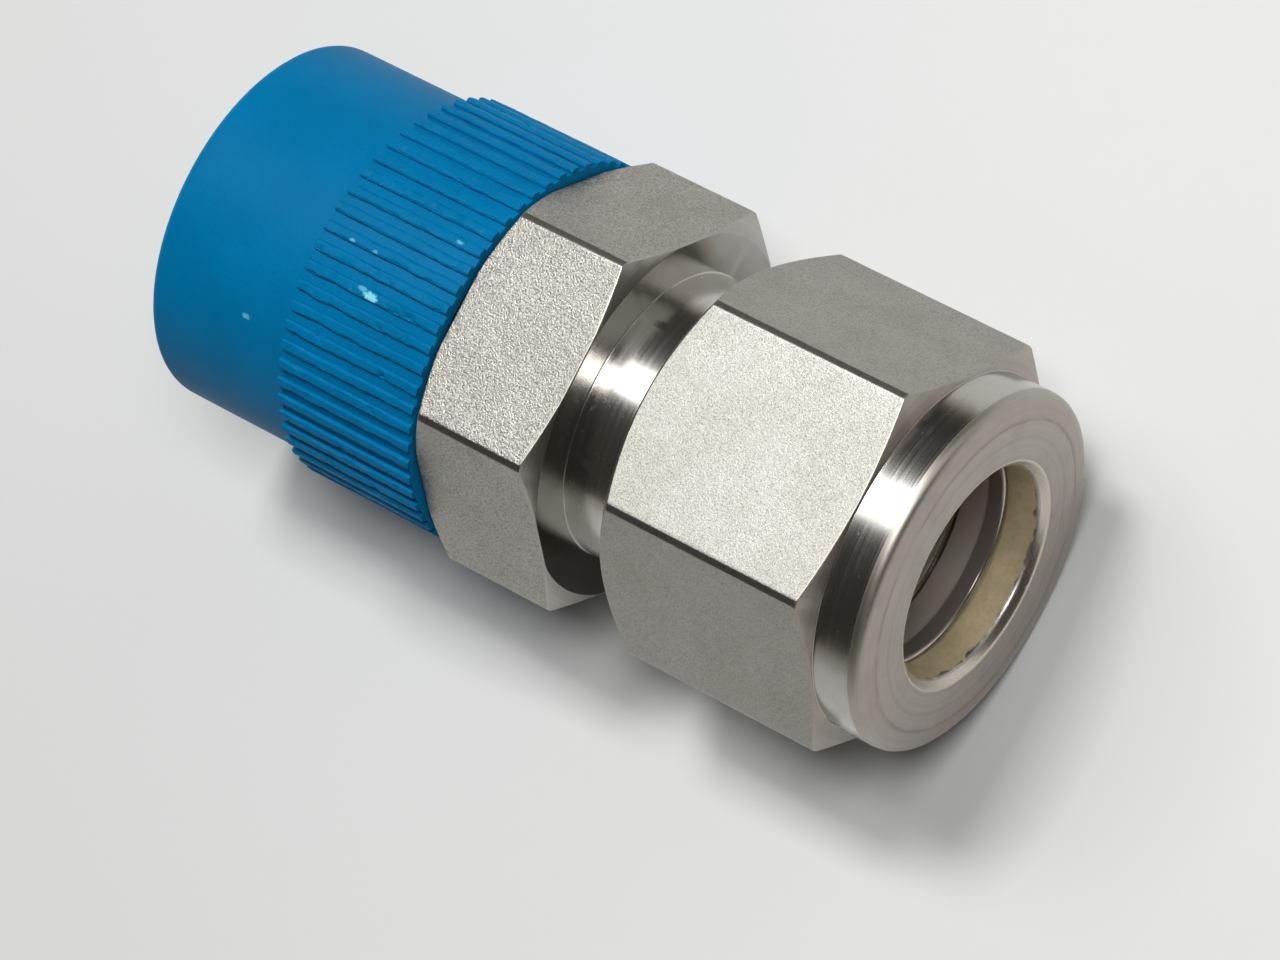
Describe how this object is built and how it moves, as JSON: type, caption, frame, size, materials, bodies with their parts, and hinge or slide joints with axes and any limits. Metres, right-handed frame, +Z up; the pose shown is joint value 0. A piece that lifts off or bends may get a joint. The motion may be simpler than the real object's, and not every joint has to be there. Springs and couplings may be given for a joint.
{
  "type": "tube fitting",
  "caption": "Straight compression tube fitting: hexagon body with a taper pipe thread under a ribbed plastic cap, tube nut and ferrules.",
  "frame": {"origin": "on the axis at the tube stop, the shoulder at the bottom of the tube socket", "axes": "+X along the axis out of the nut, the way the tube leaves; +Z up, square to the nut's top flat; -X towards the pipe thread and its cap"},
  "size_m": [0.0505, 0.0256, 0.024],
  "materials": {
    "body_steel": "satin stainless steel, tumbled flats and a polished neck",
    "nut_steel": "satin stainless steel, polished collar, dull olive plated thread and bore",
    "ferrule_steel": "polished stainless steel",
    "cap_plastic": "satin blue moulded polyethylene"
  },
  "bodies": {
    "connector": {"connector_body": "body_steel"},
    "ferrules": {"front_ferrule": "ferrule_steel", "back_ferrule": "ferrule_steel"},
    "nut": {"tube_nut": "nut_steel"},
    "cap": {"thread_cap": "cap_plastic"}
  },
  "joints": [
    {"name": "nut_travel", "type": "slide", "parent": "connector", "child": "ferrules", "axis": [1, 0, 0], "range_m": [0, 0.01017]},
    {"name": "nut_turn", "type": "hinge", "parent": "ferrules", "child": "nut", "pos_m": [0.0137, 0, 0], "axis": [1, 0, 0], "range_deg": [0, 2880]},
    {"name": "cap_pull", "type": "slide", "parent": "connector", "child": "cap", "axis": [-1, 0, 0], "range_m": [0, 0.022]}
  ],
  "couplings": [
    {"joint": "nut_travel", "follows": "nut_turn", "m_per_rad": 0.00020213}
  ]
}
